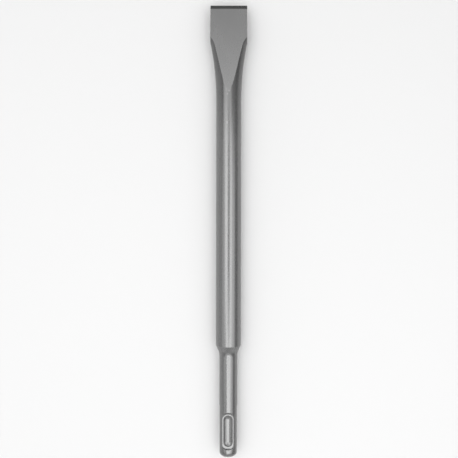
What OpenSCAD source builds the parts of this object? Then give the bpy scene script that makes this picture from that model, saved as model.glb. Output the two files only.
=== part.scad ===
// Flat chisel for a rotary hammer drill, forged and machined from one steel bar.
// It lies on its round body with the blade's face up: the cutting edge points
// along +Y and the shank along -Y, with the origin on the floor under its middle.

/* [Whole tool] */
// Length from the cutting edge to the end of the shank
tool_l = 250; // [200:5:400]

/* [Body] */
// Diameter of the round body
body_d = 14; // [12:0.5:18]

/* [Shoulder] */
// Length of the shank, from its end to where the shoulder's cone would meet it
shank_l = 57; // [45:1:80]
// Angle between the shoulder's cone and the tool's axis
shoulder_angle = 25; // [15:1:50]
// Radius of the hollow fillet between the shank and the shoulder
shoulder_fillet_r = 8; // [2:0.5:12]

/* [Shank] */
// Diameter of the shank
shank_d = 10; // [9:0.25:11]
// Radius of the rounding around the shank's end
end_round_r = 2.6; // [0.5:0.1:3.5]

/* [Lock recesses] */
// Depth of the milled flat below the crest of the shank
lock_flat_depth = 1.33; // [0.8:0.01:1.6]
// Distance from the shank's end to the near end of the flat
lock_flat_start = 4.8; // [3.5:0.1:8]
// Length of the flat
lock_flat_l = 20.1; // [16:0.1:24]
// Draft of the flat's end walls, in degrees
lock_wall_draft = 6; // [0:1:30]
// Radius of the round trough sunk into the flat
lock_trough_r = 3.8; // [3.2:0.1:4.5]
// Depth of the trough below the flat
lock_trough_depth = 1.05; // [0.4:0.05:1.3]
// Width of flat left between the trough and each end of the flat
lock_ledge_w = 1.35; // [0.8:0.05:2]

/* [Drive slots] */
// Width of each open slot
slot_w = 3.1; // [2:0.1:4]
// Depth of each slot below the shank's surface
slot_depth = 1.35; // [0.8:0.05:1.6]
// Length of a slot at its full depth, from the shank's end
slot_l = 25.6; // [18:0.1:32]
// Length of the run-out that the cutter leaves past the full depth
slot_runout_l = 2.8; // [1.8:0.1:4]

/* [Blade] */
// Width of the blade across its parallel sides
blade_w = 20.4; // [18.5:0.1:26]
// Length of the ground face, from its rounded tip on the body to the cutting edge
face_l = 48.6; // [40:1:70]
// Thickness of the blade where the bevels start
blade_t = 4.5; // [2.4:0.1:6]
// Length from the start of the flare to the cutting edge
flare_l = 52.5; // [46:0.5:75]
// Radius of the hollow curve along which the sides flare out
flare_r = 155; // [120:5:220]

/* [Cutting edge] */
// Length of each bevel, measured along the tool
bevel_l = 2.6; // [1.5:0.1:6]
// Thickness of the narrow land left at the cutting edge
edge_land = 0.24; // [0.1:0.02:0.6]

/* [Hidden] */

// Steps around a circle, around the flare's large arc, and along a short arc
round_fn = 96;
flare_fn = 360;
arc_steps = 10;
$fn = round_fn;

body_r = body_d / 2;
shank_r = shank_d / 2;
axis_z = body_r;
flare_start = tool_l - flare_l;

// The hollow fillet leaves the shank and meets the cone at equal tangent lengths
fillet_tangent = shoulder_fillet_r * tan(shoulder_angle / 2);
shoulder_l = (body_r - shank_r) / tan(shoulder_angle);
fillet_start = shank_l - fillet_tangent;

// The milled flat is a chord of the shank, so its width follows from its depth
lock_flat_z = shank_r - lock_flat_depth;
lock_flat_r = sqrt(pow(shank_r, 2) - pow(lock_flat_z, 2));
lock_trough_z = lock_flat_z - lock_trough_depth + lock_trough_r;
lock_trough_half_w = sqrt(pow(lock_trough_r, 2) - pow(lock_trough_z - lock_flat_z, 2));
lock_trough_start = lock_flat_start + lock_ledge_w + lock_trough_half_w;
lock_trough_end = lock_flat_start + lock_flat_l - lock_ledge_w - lock_trough_half_w;

// A slot's run-out is an arc of the cutter that rises from the slot's floor
slot_cutter_r = (pow(slot_runout_l, 2) + pow(slot_depth, 2)) / (2 * slot_depth);

// How far cutting solids stand past the surfaces that they cut
past = 1;

// The two faces fall in a straight line from the crest of the body to the bevels
face_slope = (body_r - blade_t / 2) / (face_l - bevel_l);
wedge_start_z = body_r + face_slope * (tool_l - face_l + past);

// Each side of the flare is the round body bent along an arc of this radius
bend_r = flare_r + body_r;

// The web between the bent bodies starts inside the round body, out of its surface
web_half_w = body_r * 0.5;
web_half_h = body_r * 0.8;

// Points of an arc in the plane of the turned profile, [radius, place along the tool]
function arc(centre, r, from, to) =
    [for (i = [0:arc_steps])
        let (a = from + (to - from) * i / arc_steps)
        centre + r * [cos(a), sin(a)]];

// Stands a solid of revolution along the tool, with its zero at the shank's end
module along_tool(s = 0) {
    translate([0, s, 0]) rotate([-90, 0, 0]) children();
}

// Shank, hollow fillet, shoulder and round body, turned as one profile
module turned_bar() {
    along_tool() rotate_extrude()
        polygon(concat(
            [[0, 0]],
            arc([shank_r - end_round_r, end_round_r], end_round_r, -90, 0),
            arc([shank_r + shoulder_fillet_r, fillet_start], shoulder_fillet_r,
                180, 180 - shoulder_angle),
            [[body_r, shank_l + shoulder_l], [body_r, flare_start], [0, flare_start]]
        ));
}

// Left half of the flared head: the round body, bent outwards
module flared_half() {
    bend = asin((flare_l + past) / flare_r);
    intersection() {
        translate([-bend_r, flare_start, 0])
            rotate_extrude(angle = bend, $fn = flare_fn)
                translate([bend_r, 0]) circle(body_r, $fn = round_fn);
        translate([-blade_w, flare_start - past, -body_r - past])
            cube([blade_w, flare_l + 2 * past, 2 * (body_r + past)]);
    }
}

// Web that fills the head between the halves, out to past the middle line of each
module web() {
    difference() {
        translate([-blade_w, flare_start - body_r, -web_half_h])
            cube([2 * blade_w, body_r + flare_l + past, 2 * web_half_h]);
        for (side = [-1, 1])
            translate([side * bend_r, flare_start, -web_half_h - past])
                cylinder(h = 2 * (web_half_h + past), r = bend_r - web_half_w, $fn = flare_fn);
    }
}

// Side view that trims the tool to the blade's width, its two ground faces, its two
// bevels and the land at the edge
module wedge() {
    rotate([90, 0, 90]) linear_extrude(blade_w, center = true)
        polygon([
            [-past, wedge_start_z],
            [tool_l - bevel_l, blade_t / 2],
            [tool_l, edge_land / 2],
            [tool_l, -edge_land / 2],
            [tool_l - bevel_l, -blade_t / 2],
            [-past, -wedge_start_z]
        ]);
}

// Recess for one locking ball: a milled flat with round ends and a trough sunk in it
module lock_recess() {
    top = shank_r + past - lock_flat_z;
    near_end = lock_flat_start + lock_flat_r;
    far_end = lock_flat_start + lock_flat_l - lock_flat_r;
    for (s = [near_end, far_end])
        translate([0, s, lock_flat_z])
            cylinder(h = top, r1 = lock_flat_r, r2 = lock_flat_r + top * tan(lock_wall_draft));
    translate([-shank_r, near_end, lock_flat_z]) cube([shank_d, far_end - near_end, top]);
    translate([0, 0, lock_trough_z]) {
        along_tool(lock_trough_start) cylinder(h = lock_trough_end - lock_trough_start, r = lock_trough_r);
        for (s = [lock_trough_start, lock_trough_end])
            translate([0, s, 0]) sphere(lock_trough_r);
    }
}

// One open slot that takes the turning force, cut in from the shank's end
module drive_slot() {
    floor_x = shank_r - slot_depth;
    translate([0, 0, -slot_w / 2]) {
        translate([floor_x, -past, 0]) cube([slot_depth + past, slot_l + past, slot_w]);
        translate([floor_x + slot_cutter_r, slot_l, 0]) cylinder(h = slot_w, r = slot_cutter_r);
    }
}

// The turned bar with both recesses and both slots cut into its shank
module shank_and_body() {
    difference() {
        turned_bar();
        for (side = [0, 180]) {
            rotate([0, side, 0]) lock_recess();
            rotate([0, side, 0]) drive_slot();
        }
    }
}

// The whole tool, moved to lie on the floor with its middle over the origin
module chisel() {
    color([0.56, 0.56, 0.55]) translate([0, -tool_l / 2, axis_z])
        intersection() {
            union() {
                shank_and_body();
                flared_half();
                mirror([1, 0, 0]) flared_half();
                web();
            }
            wedge();
        }
}

chisel();
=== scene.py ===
import math
import bpy
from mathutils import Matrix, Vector


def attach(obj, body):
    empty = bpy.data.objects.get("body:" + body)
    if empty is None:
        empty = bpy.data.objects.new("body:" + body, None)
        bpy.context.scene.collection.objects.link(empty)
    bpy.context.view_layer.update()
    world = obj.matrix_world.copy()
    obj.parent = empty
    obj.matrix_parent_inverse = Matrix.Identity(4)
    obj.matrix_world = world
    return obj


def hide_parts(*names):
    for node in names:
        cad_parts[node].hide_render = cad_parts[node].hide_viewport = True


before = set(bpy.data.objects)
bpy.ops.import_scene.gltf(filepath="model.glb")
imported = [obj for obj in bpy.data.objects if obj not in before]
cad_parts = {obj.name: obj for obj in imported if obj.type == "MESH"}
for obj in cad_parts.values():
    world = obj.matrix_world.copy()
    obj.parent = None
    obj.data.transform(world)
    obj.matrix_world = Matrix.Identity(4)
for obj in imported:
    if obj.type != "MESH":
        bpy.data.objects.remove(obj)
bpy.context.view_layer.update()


# The bar. The real tool starts as a round steel bar: the shank is turned down at one end
# with a rounded tip, a hollow fillet and a cone lead up to the full 14 mm body, and the
# far end is forged out sideways into the blade.
MM = 0.001
HALF_LENGTH = 125
AXIS_Z = 7
BODY_R = 7
SHANK_R = 5
END_ROUND = 2.6
END_STEPS = 10
FILLET_R = 8
FILLET_START = 55.23
FILLET_STEPS = 8
SHOULDER_ANGLE = 25
SHOULDER_END = 61.29
FLARE_START = 197.5
FLARE_R = 155
PRESSED_START = 227.5
PRESSED_RATE = 0.1
WIDE_STEP = 1.5
CLOSE_STEP = 0.3
CLOSE_FROM = 226
CLOSE_TO = 235
BAR_SIDES = 160


def place(x, s, z):
    """A point x across the tool, s along it from the shank's end and z above its axis, in mm."""
    return Vector((x * MM, (s - HALF_LENGTH) * MM, (z + AXIS_Z) * MM))


def flare_half_width(s):
    """Half the width that the forging has spread the bar to, before its sides are ground."""
    along = s - FLARE_START
    spread = FLARE_R - math.sqrt(FLARE_R ** 2 - along ** 2)
    pressed = max(0, s - PRESSED_START) ** 2 * PRESSED_RATE
    return BODY_R + spread + pressed


# Each ring is a place along the bar with its half width and half height there. The last
# ones lie past the cutting edge, to be ground away.
rings = []
for step in range(END_STEPS + 1):
    angle = math.radians(90 * step / END_STEPS)
    radius = SHANK_R - END_ROUND + END_ROUND * math.sin(angle)
    rings.append((END_ROUND - END_ROUND * math.cos(angle), radius, radius))
for step in range(FILLET_STEPS + 1):
    angle = math.radians(SHOULDER_ANGLE * step / FILLET_STEPS)
    radius = SHANK_R + FILLET_R - FILLET_R * math.cos(angle)
    rings.append((FILLET_START + FILLET_R * math.sin(angle), radius, radius))
for s in (SHOULDER_END, 80, 110, 140, 170, FLARE_START):
    rings.append((s, BODY_R, BODY_R))
flare_places = [FLARE_START + WIDE_STEP * step for step in range(1, 20)]
flare_places += [CLOSE_FROM + CLOSE_STEP * step for step in range(1, 31)]
flare_places += [CLOSE_TO + WIDE_STEP * step for step in range(1, 13)]
for s in flare_places:
    rings.append((s, flare_half_width(s), BODY_R))

bpy.ops.object.select_all(action="DESELECT")
bpy.ops.mesh.primitive_circle_add(vertices=BAR_SIDES, radius=rings[0][1] * MM, fill_type="NGON",
                                  location=place(0, 0, 0), rotation=(math.pi / 2, 0, 0))
chisel = bpy.context.active_object
chisel.name = "chisel_steel"
bpy.ops.object.transform_apply(location=True, rotation=True, scale=True)
bpy.ops.object.mode_set(mode="EDIT")
bpy.ops.mesh.select_mode(type="FACE")
bpy.ops.mesh.select_all(action="SELECT")
for (old_s, old_half_w, old_half_h), (s, half_w, half_h) in zip(rings, rings[1:]):
    bpy.ops.mesh.extrude_region_move(TRANSFORM_OT_translate={"value": (0, (s - old_s) * MM, 0)})
    bpy.ops.transform.resize(value=(half_w / old_half_w, 1, half_h / old_half_h),
                             center_override=place(0, s, 0))
bpy.ops.mesh.select_all(action="SELECT")
bpy.ops.mesh.normals_make_consistent(inside=False)
bpy.ops.object.mode_set(mode="OBJECT")


# The lock recesses. The chuck's two balls run in closed recesses, one above and one below:
# a round-cornered end mill leaves a flat that climbs out in a curve at its far end, and a
# ball-nosed cutter sinks a trough in it, which leaves only a narrow ledge all round.
FLAT_Z = 3.67
FLOOR_HALF_W = 2.70
FLOOR_FROM = 4.65
FLOOR_TO = 23.5
CORNER_R = 1.2
CORNER_STEPS = 6
NEAR_R = 0.25
FAR_R = 1.6
CUTTER_TOP = 2.4
FLAT_CUTTER_SIDES = 97
TROUGH_R = 3.8
TROUGH_Z = 6.42
TROUGH_FROM = 8.42
TROUGH_TO = 20.55
TROUGH_CUTTER_SIDES = 96
TROUGH_CUTTER_RINGS = 65
HAIR = 0.001


def reach(radius, height):
    """How far a hollow corner of this radius has spread at a height above the flat."""
    return math.sqrt(radius ** 2 - max(0, radius - height) ** 2)


def cut_with(cutter):
    """Takes the cutter's shape out of the chisel and throws the cutter away."""
    bpy.ops.object.select_all(action="DESELECT")
    bpy.context.view_layer.objects.active = chisel
    cut = chisel.modifiers.new("cut", "BOOLEAN")
    cut.operation = "DIFFERENCE"
    cut.solver = "EXACT"
    cut.object = cutter
    bpy.ops.object.modifier_apply(modifier="cut")
    bpy.data.objects.remove(cutter)


def lengthen(cutter, by, past_s):
    """Draws out the part of a cutter that lies past a place, and leaves it in edit mode."""
    bpy.ops.object.mode_set(mode="EDIT")
    bpy.ops.mesh.select_mode(type="VERT")
    bpy.ops.mesh.select_all(action="DESELECT")
    bpy.ops.object.mode_set(mode="OBJECT")
    for vertex in cutter.data.vertices:
        vertex.select = vertex.co.y > (past_s - HALF_LENGTH + HAIR) * MM
    bpy.ops.object.mode_set(mode="EDIT")
    bpy.ops.transform.translate(value=(0, by * MM, 0))


# Each outline of the flat's cutter is a height with its half width, near end and far end
outlines = []
for step in range(CORNER_STEPS + 1):
    height = CORNER_R * (1 - math.cos(math.radians(90 * step / CORNER_STEPS)))
    outlines.append((height, FLOOR_HALF_W + reach(CORNER_R, height),
                     FLOOR_FROM - reach(NEAR_R, height), FLOOR_TO + reach(FAR_R, height)))
outlines.append((CUTTER_TOP, FLOOR_HALF_W + CORNER_R, FLOOR_FROM - NEAR_R, FLOOR_TO + FAR_R))

for side in (1, -1):
    bpy.ops.object.select_all(action="DESELECT")
    bpy.ops.mesh.primitive_circle_add(vertices=FLAT_CUTTER_SIDES, radius=FLOOR_HALF_W * MM,
                                      fill_type="NGON",
                                      location=place(0, FLOOR_FROM + FLOOR_HALF_W, side * FLAT_Z),
                                      rotation=(0, 0, math.pi / 2))
    flat_cutter = bpy.context.active_object
    bpy.ops.object.transform_apply(location=True, rotation=True, scale=True)
    lengthen(flat_cutter, FLOOR_TO - FLOOR_FROM - 2 * FLOOR_HALF_W, FLOOR_FROM + FLOOR_HALF_W)
    bpy.ops.mesh.select_all(action="SELECT")
    for lower, upper in zip(outlines, outlines[1:]):
        old_height, old_half_w, old_near, old_far = lower
        height, half_w, near, far = upper
        old_middle = (old_near + old_far) / 2
        middle = (near + far) / 2
        bpy.ops.mesh.extrude_region_move(
            TRANSFORM_OT_translate={"value": (0, 0, side * (height - old_height) * MM)})
        bpy.ops.transform.resize(value=(half_w / old_half_w, (far - near) / (old_far - old_near), 1),
                                 center_override=place(0, old_middle, side * FLAT_Z))
        bpy.ops.transform.translate(value=(0, (middle - old_middle) * MM, 0))
    bpy.ops.mesh.select_all(action="SELECT")
    bpy.ops.mesh.normals_make_consistent(inside=False)
    bpy.ops.object.mode_set(mode="OBJECT")
    cut_with(flat_cutter)

    bpy.ops.mesh.primitive_uv_sphere_add(segments=TROUGH_CUTTER_SIDES,
                                         ring_count=TROUGH_CUTTER_RINGS, radius=TROUGH_R * MM,
                                         location=place(0, TROUGH_FROM, side * TROUGH_Z),
                                         rotation=(math.pi / 2, 0, 0))
    trough_cutter = bpy.context.active_object
    bpy.ops.object.transform_apply(location=True, rotation=True, scale=True)
    lengthen(trough_cutter, TROUGH_TO - TROUGH_FROM, TROUGH_FROM)
    bpy.ops.object.mode_set(mode="OBJECT")
    cut_with(trough_cutter)


# The drive slots. Two open slots in the shank's sides take the turning force; a slotting
# cutter runs in from the end at full depth and leaves its own curve where it lifts out.
SLOT_HALF_W = 1.55
SLOT_FLOOR_X = 3.65
SLOT_LENGTH = 25.6
SLOT_CUTTER_R = 3.58
SLOT_CUTTER_SIDES = 144
WITH_MIDDLE = 0.01

for side in (1, -1):
    bpy.ops.object.select_all(action="DESELECT")
    bpy.ops.mesh.primitive_cylinder_add(vertices=SLOT_CUTTER_SIDES, radius=SLOT_CUTTER_R * MM,
                                        depth=2 * SLOT_HALF_W * MM,
                                        location=place(side * (SLOT_FLOOR_X + SLOT_CUTTER_R),
                                                       -SLOT_CUTTER_R, 0))
    slot_cutter = bpy.context.active_object
    bpy.ops.object.transform_apply(location=True, rotation=True, scale=True)
    lengthen(slot_cutter, SLOT_LENGTH + SLOT_CUTTER_R, -SLOT_CUTTER_R - WITH_MIDDLE)
    bpy.ops.object.mode_set(mode="OBJECT")
    cut_with(slot_cutter)


# The tumbling. Every border of the shank and the shoulder is rounded over a little when the
# tool is tumbled, and is marked for it here, before the blade is ground.
SLIGHT = 0.6
MERGED_WITHIN = 0.012
BORDER_ANGLE = 20

bpy.ops.object.select_all(action="DESELECT")
chisel.select_set(True)
bpy.context.view_layer.objects.active = chisel
bpy.ops.object.mode_set(mode="EDIT")
bpy.ops.mesh.select_mode(type="VERT")
bpy.ops.mesh.select_all(action="SELECT")
bpy.ops.mesh.remove_doubles(threshold=MERGED_WITHIN * MM)
bpy.ops.mesh.select_mode(type="EDGE")
bpy.ops.mesh.select_all(action="DESELECT")
bpy.ops.mesh.edges_select_sharp(sharpness=math.radians(BORDER_ANGLE))
bpy.ops.transform.edge_bevelweight(value=SLIGHT)
bpy.ops.object.mode_set(mode="OBJECT")


# The blade. Both faces are ground in one straight slope from the crest of the body, the
# sides are ground parallel, and two short bevels meet at the edge, where a narrow land is
# left. Each cut leaves a crisp border that is later broken by a fine bevel.
TOOL_LENGTH = 250
SIDE_X = 10.195
FACE_TIP = 201.6
BEVEL_START = 247.4
BEVEL_HALF_T = 2.3
LAND_HALF_T = 0.12
FULL = 1
FINE = 0.25


def grind(point, normal, share):
    """Cuts away all past a plane, closes the cut and marks its border to be broken by a share."""
    bpy.ops.mesh.select_all(action="SELECT")
    bpy.ops.mesh.bisect(plane_co=point, plane_no=normal, use_fill=True, clear_outer=True,
                        threshold=HAIR * MM)
    bpy.ops.transform.edge_bevelweight(value=share)


face_normal = Vector((0, AXIS_Z - BEVEL_HALF_T, BEVEL_START - FACE_TIP)).normalized()
bevel_normal = Vector((0, BEVEL_HALF_T - LAND_HALF_T, TOOL_LENGTH - BEVEL_START)).normalized()
bpy.ops.object.select_all(action="DESELECT")
chisel.select_set(True)
bpy.context.view_layer.objects.active = chisel
bpy.ops.object.mode_set(mode="EDIT")
bpy.ops.mesh.select_mode(type="FACE")
for side in (1, -1):
    grind(place(side * SIDE_X, TOOL_LENGTH, 0), (side, 0, 0), SLIGHT)
for side in (1, -1):
    grind(place(0, FACE_TIP, side * BODY_R), (0, face_normal.y, side * face_normal.z), FULL)
for side in (1, -1):
    grind(place(0, BEVEL_START, side * BEVEL_HALF_T), (0, bevel_normal.y, side * bevel_normal.z), FINE)
grind(place(0, TOOL_LENGTH, 0), (0, 1, 0), FINE)
bpy.ops.object.mode_set(mode="OBJECT")


# The edge breaking. Each marked border is rounded by its own share of the full width: all of
# it round the ground faces, which makes them catch the light as thin lines, less where the
# tool is tumbled, and least at the cutting edge.
EDGE_BREAK = 0.32
SMOOTH_BELOW = 28

breaking = chisel.modifiers.new("breaking", "BEVEL")
breaking.width = EDGE_BREAK * MM
breaking.segments = 3
breaking.limit_method = "WEIGHT"
bpy.ops.object.modifier_apply(modifier="breaking")
bpy.ops.object.shade_smooth_by_angle(angle=math.radians(SMOOTH_BELOW))
weighting = chisel.modifiers.new("weighting", "WEIGHTED_NORMAL")
weighting.keep_sharp = True
weighting.weight = 60
bpy.ops.object.modifier_apply(modifier="weighting")
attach(chisel, "root")
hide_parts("chisel")


# The steel. Hardened and tumbled to a satin grey, it has faint streaks along the bar and fine pits.
# Its borders are rubbed a little smoother and painted brighter as a highlight. The ground faces are
# smoother. The forged sides and the cutting bevels are painted darker as shade, where they mirror dark
# surroundings, and three nicks are painted brighter as glints.
STEEL_TONE = (0.214, 0.226)
STREAK_TONE = 0.006
RUBBED_HIGHLIGHT_TONE = 0.10
NICK_GLINT_TONE = 0.2
BEVEL_SHADE_TONE = 0.3
FLARE_SHADE_TONE = 0.68
STEEL_DULLNESS = (0.25, 0.29)
STREAK_DULLNESS = 0.02
RUBBED_SHINE = 0.04
BARE_DULLNESS = 0.15
STREAK_RELIEF = 0.6
PIT_RELIEF = 0.4
GROUND_STREAKS = 0.4
GROUND_RELIEF = 0.25
RELIEF_DEPTH = 0.01
RUBBED_HIGHLIGHT_WIDTH = 0.3
GRAIN = (0.3, 0.7)
RUBBED_HIGHLIGHT_TURN = (0.998, 0.975)
LEVEL_TURN = (0.975, 0.990)
NICKS = ((-0.68, 58.85, 0.35, 1.0), (0.36, 76.1, 0.45, 0.6), (-0.51, 74.4, 0.45, 0.7))

steel = bpy.data.materials.new("satin_steel")
steel.use_nodes = True
nodes = steel.node_tree.nodes
links = steel.node_tree.links
shader = nodes["Principled BSDF"]
shader.inputs["Metallic"].default_value = 1.0
coordinates = nodes.new("ShaderNodeTexCoord")
position = nodes.new("ShaderNodeSeparateXYZ")
links.new(coordinates.outputs["Object"], position.inputs["Vector"])


def mapped_noise(name, stretch, detail, roughness):
    """Noise over the tool, with its grains given per metre across, along and up."""
    mapping = nodes.new("ShaderNodeMapping")
    mapping.inputs["Scale"].default_value = stretch
    noise = nodes.new("ShaderNodeTexNoise")
    noise.name = name
    noise.inputs["Scale"].default_value = 1.0
    noise.inputs["Detail"].default_value = detail
    noise.inputs["Roughness"].default_value = roughness
    links.new(coordinates.outputs["Object"], mapping.inputs["Vector"])
    links.new(mapping.outputs["Vector"], noise.inputs["Vector"])
    return noise.outputs["Fac"]


def remap(value, given, wanted=(0.0, 1.0)):
    """Carries a value from a given range to the wanted one, and holds it there."""
    ranged = nodes.new("ShaderNodeMapRange")
    ranged.inputs["From Min"].default_value = given[0]
    ranged.inputs["From Max"].default_value = given[1]
    ranged.inputs["To Min"].default_value = wanted[0]
    ranged.inputs["To Max"].default_value = wanted[1]
    links.new(value, ranged.inputs["Value"])
    return ranged.outputs["Result"]


def reached(from_s, to_s):
    """Rises from 0 to 1 between two places along the tool, in mm from the shank's end."""
    return remap(position.outputs["Y"], ((from_s - HALF_LENGTH) * MM, (to_s - HALF_LENGTH) * MM))


def nick(x, y, half_width, half_length):
    """A spot on the upper side, strongest at x and y in mm and gone past its half sizes."""
    mapping = nodes.new("ShaderNodeMapping")
    mapping.vector_type = "TEXTURE"
    mapping.inputs["Location"].default_value = (x * MM, y * MM, 2 * AXIS_Z * MM)
    mapping.inputs["Scale"].default_value = (half_width * MM, half_length * MM, half_length * MM)
    ball = nodes.new("ShaderNodeTexGradient")
    ball.gradient_type = "SPHERICAL"
    links.new(coordinates.outputs["Object"], mapping.inputs["Vector"])
    links.new(mapping.outputs["Vector"], ball.inputs["Vector"])
    return ball.outputs["Fac"]


def maths(operation, first, second):
    """One sum with two values, each a socket or a plain number."""
    node = nodes.new("ShaderNodeMath")
    node.operation = operation
    for socket, value in zip(node.inputs, (first, second)):
        if isinstance(value, (int, float)):
            socket.default_value = value
        else:
            links.new(value, socket)
    return node.outputs["Value"]


def lessen(value, where, share):
    """Takes a value down to a share of itself, as far as a mask is full."""
    return maths("MULTIPLY", value, remap(where, (0.0, 1.0), (1.0, share)))


streaks = mapped_noise("streaks", (1500, 60, 1500), 4, 0.6)
clouds = mapped_noise("clouds", (120, 45, 120), 3, 0.5)
pits = mapped_noise("pits", (2600, 2200, 2600), 2, 0.5)

# Along the borders the steel is rubbed a little smoother, and its colour is painted brighter as a
# highlight.
soft_edge = nodes.new("ShaderNodeBevel")
soft_edge.samples = 6
soft_edge.inputs["Radius"].default_value = RUBBED_HIGHLIGHT_WIDTH * MM
geometry = nodes.new("ShaderNodeNewGeometry")
turned = nodes.new("ShaderNodeVectorMath")
turned.operation = "DOT_PRODUCT"
links.new(soft_edge.outputs["Normal"], turned.inputs[0])
links.new(geometry.outputs["Normal"], turned.inputs[1])
rubbed_highlight = remap(turned.outputs["Value"], RUBBED_HIGHLIGHT_TURN)

facing = nodes.new("ShaderNodeSeparateXYZ")
links.new(geometry.outputs["Normal"], facing.inputs["Vector"])
level = remap(maths("ABSOLUTE", facing.outputs["Z"], 0), LEVEL_TURN)
ground = maths("MULTIPLY", reached(200.5, 203.5), level)
# The forged sides of the flare are painted darker, a painted dark reflection where they mirror the
# dark low surroundings.
flare_shade = maths("SUBTRACT", reached(175, 220), ground)
# The cutting bevels are painted darker, a painted dark reflection of the low surroundings.
bevel_shade = reached(247.15, 247.65)
# Three nicks, each painted as a bright spot, which is a painted glint, and made a little rougher.
nick_glint = nick(*NICKS[0])
for spot in NICKS[1:]:
    nick_glint = maths("ADD", nick_glint, nick(*spot))

streaky = lessen(remap(streaks, GRAIN, (-1.0, 1.0)), ground, GROUND_STREAKS)
tone = maths("ADD", maths("MULTIPLY", streaky, STREAK_TONE), remap(clouds, GRAIN, STEEL_TONE))
# painted highlight along the borders
tone = maths("ADD", tone, maths("MULTIPLY", rubbed_highlight, RUBBED_HIGHLIGHT_TONE))
# painted glints at the three nicks
tone = maths("ADD", tone, maths("MULTIPLY", nick_glint, NICK_GLINT_TONE))
# painted shade on the cutting bevels
tone = lessen(tone, bevel_shade, BEVEL_SHADE_TONE)
# painted shade on the forged sides of the flare
tone = lessen(tone, flare_shade, FLARE_SHADE_TONE)
colour = nodes.new("ShaderNodeCombineColor")
for channel in ("Red", "Green", "Blue"):
    links.new(tone, colour.inputs[channel])
links.new(colour.outputs["Color"], shader.inputs["Base Color"])

dullness = maths("ADD", maths("MULTIPLY", streaky, STREAK_DULLNESS),
                 remap(clouds, GRAIN, STEEL_DULLNESS))
dullness = maths("SUBTRACT", dullness, maths("MULTIPLY", rubbed_highlight, RUBBED_SHINE))
dullness = maths("ADD", dullness, maths("MULTIPLY", nick_glint, BARE_DULLNESS))
links.new(dullness, shader.inputs["Roughness"])

relief = maths("ADD", maths("MULTIPLY", streaks, STREAK_RELIEF), maths("MULTIPLY", pits, PIT_RELIEF))
relief = lessen(relief, ground, GROUND_RELIEF)
bump = nodes.new("ShaderNodeBump")
bump.inputs["Strength"].default_value = 0.07
bump.inputs["Distance"].default_value = RELIEF_DEPTH * MM
links.new(relief, bump.inputs["Height"])
links.new(bump.outputs["Normal"], shader.inputs["Normal"])
chisel.data.materials.clear()
chisel.data.materials.append(steel)


# The floor. A plain white sheet of card, as under a catalogue picture, on which the tool
# lies on its round body and casts its soft shadow.
FLOOR_SIZE = 5
CARD_WHITE = (0.72, 0.72, 0.72, 1)

bpy.ops.object.select_all(action="DESELECT")
bpy.ops.mesh.primitive_plane_add(size=FLOOR_SIZE, location=(0, 0, 0))
floor = bpy.context.active_object
floor.name = "floor"
card = bpy.data.materials.new("white_card")
card.use_nodes = True
card_shader = card.node_tree.nodes["Principled BSDF"]
card_shader.inputs["Base Color"].default_value = CARD_WHITE
card_shader.inputs["Roughness"].default_value = 0.9
card_shader.inputs["Specular IOR Level"].default_value = 0.1
floor.data.materials.append(card)


# The light. Soft boxes hang side by side overhead, with a dark gap beside the camera's lens
# that shows as a thin dark line along the crest. Two soft walls stand at the left and the
# front, and a pale studio surrounds it all.
CEILING = 0.60
WALL_AWAY = 2.4
WALL_LENGTH = 4.8
WALL_HEIGHT = 1.2
STUDIO_LIGHT = 0.45


def soft_light(name, wide, tall, radiance, location, rotation=(0, 0, 0)):
    """An area lamp with its size in metres, facing straight down if it isn't turned."""
    lamp = bpy.data.lights.new(name, "AREA")
    lamp.shape = "RECTANGLE"
    lamp.size = wide
    lamp.size_y = tall
    lamp.energy = radiance * math.pi * wide * tall
    holder = bpy.data.objects.new(name, lamp)
    holder.location = location
    holder.rotation_euler = rotation
    bpy.context.scene.collection.objects.link(holder)


# Each box is its name, the part of the ceiling that it covers in x and in y, and its radiance
for name, x_from, x_to, y_from, y_to, radiance in (
        ("box_left", -0.36, -0.05, -0.17, 0.17, 2.45),
        ("box_right", 0.12, 0.36, -0.17, 0.17, 2.42),
        ("box_shank", -0.22, 0.22, -0.45, -0.17, 2.7),
        ("box_shank_right", 0.22, 0.36, -0.45, -0.17, 1.9),
        ("box_blade", -0.22, 0.22, 0.17, 0.40, 1.24),
        ("box_blade_left", -0.60, -0.22, 0.17, 0.40, 1.48),
        ("side_left", -1.0, -0.36, -0.45, 0.17, 0.81),
        ("side_right", 0.36, 1.0, -0.45, 0.17, 1.19),
        ("back", -0.5, 0.6, 0.40, 0.80, 0.53),
        ("front", -0.6, 0.6, -1.00, -0.45, 0.5)):
    soft_light(name, x_to - x_from, y_to - y_from, radiance,
               ((x_from + x_to) / 2, (y_from + y_to) / 2, CEILING))

soft_light("wall_left", WALL_LENGTH, WALL_HEIGHT, 0.37, (-WALL_AWAY, 0, WALL_HEIGHT / 2),
           (math.pi / 2, 0, -math.pi / 2))
soft_light("wall_front", WALL_LENGTH, WALL_HEIGHT, 0.59, (0, -WALL_AWAY, WALL_HEIGHT / 2),
           (math.pi / 2, 0, 0))

studio = bpy.data.worlds.new("studio")
bpy.context.scene.world = studio
studio.use_nodes = True
studio.node_tree.nodes["Background"].inputs["Color"].default_value = (1, 1, 1, 1)
studio.node_tree.nodes["Background"].inputs["Strength"].default_value = STUDIO_LIGHT


# The camera. It looks straight down from 319 mm above the tool's axis, a little to its
# right, with the picture shifted back over the tool and the blade at the top.
DISTANCE = 0.3186
TO_THE_RIGHT = 0.008
VIEW_WIDTH = 0.2544
PICTURE_X = 0.00025
PICTURE_Y = 0.00077
PICTURE_TURN = 0.09

camera_data = bpy.data.cameras.new("camera")
camera_data.sensor_width = 36
camera_data.lens = 45.0
camera_data.shift_x = -TO_THE_RIGHT / VIEW_WIDTH
camera = bpy.data.objects.new("camera", camera_data)
camera.location = (PICTURE_X + TO_THE_RIGHT, PICTURE_Y, AXIS_Z * MM + DISTANCE)
camera.rotation_euler = (0, 0, math.radians(PICTURE_TURN))
bpy.context.scene.collection.objects.link(camera)
bpy.context.scene.camera = camera
bpy.context.scene.view_settings.view_transform = "Standard"
